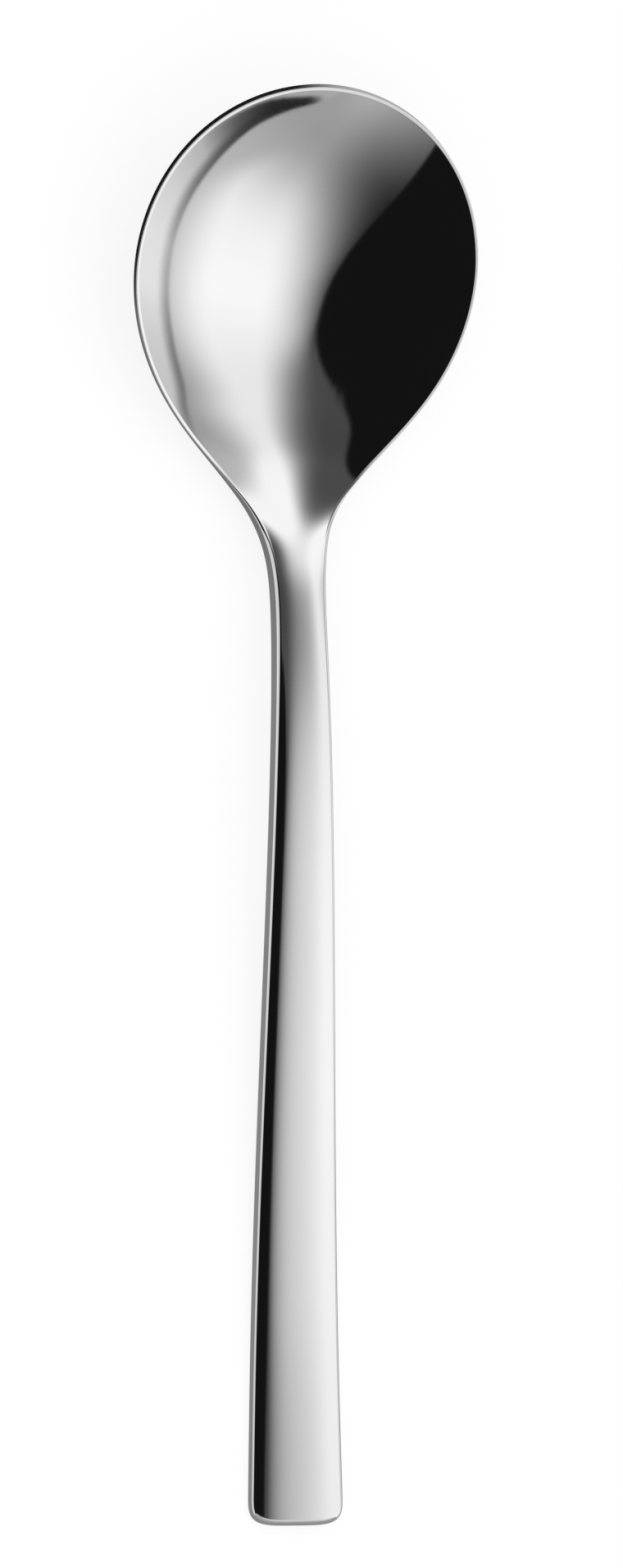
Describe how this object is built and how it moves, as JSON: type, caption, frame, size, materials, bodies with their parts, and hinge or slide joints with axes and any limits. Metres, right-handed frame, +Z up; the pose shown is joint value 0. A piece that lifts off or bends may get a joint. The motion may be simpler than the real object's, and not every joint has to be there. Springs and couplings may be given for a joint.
{
  "type": "soup spoon",
  "caption": "Round-bowled soup spoon in mirror-polished steel, with a tapered, gently arched handle whose flat back rests on the table, for scooping and sipping soup.",
  "frame": {"origin": "on the table, under the middle of the spoon's length: the centre of the bounding box's bottom face", "axes": "+Y along the spoon from the handle's end to the tip of the bowl, +Z up out of the bowl, +X to the right seen from the handle's end"},
  "size_m": [0.0452, 0.18, 0.0165],
  "materials": {
    "polished_steel": "mirror-polished stainless steel"
  },
  "bodies": {
    "root": {"bowl": "polished_steel", "handle": "polished_steel"}
  },
  "joints": []
}
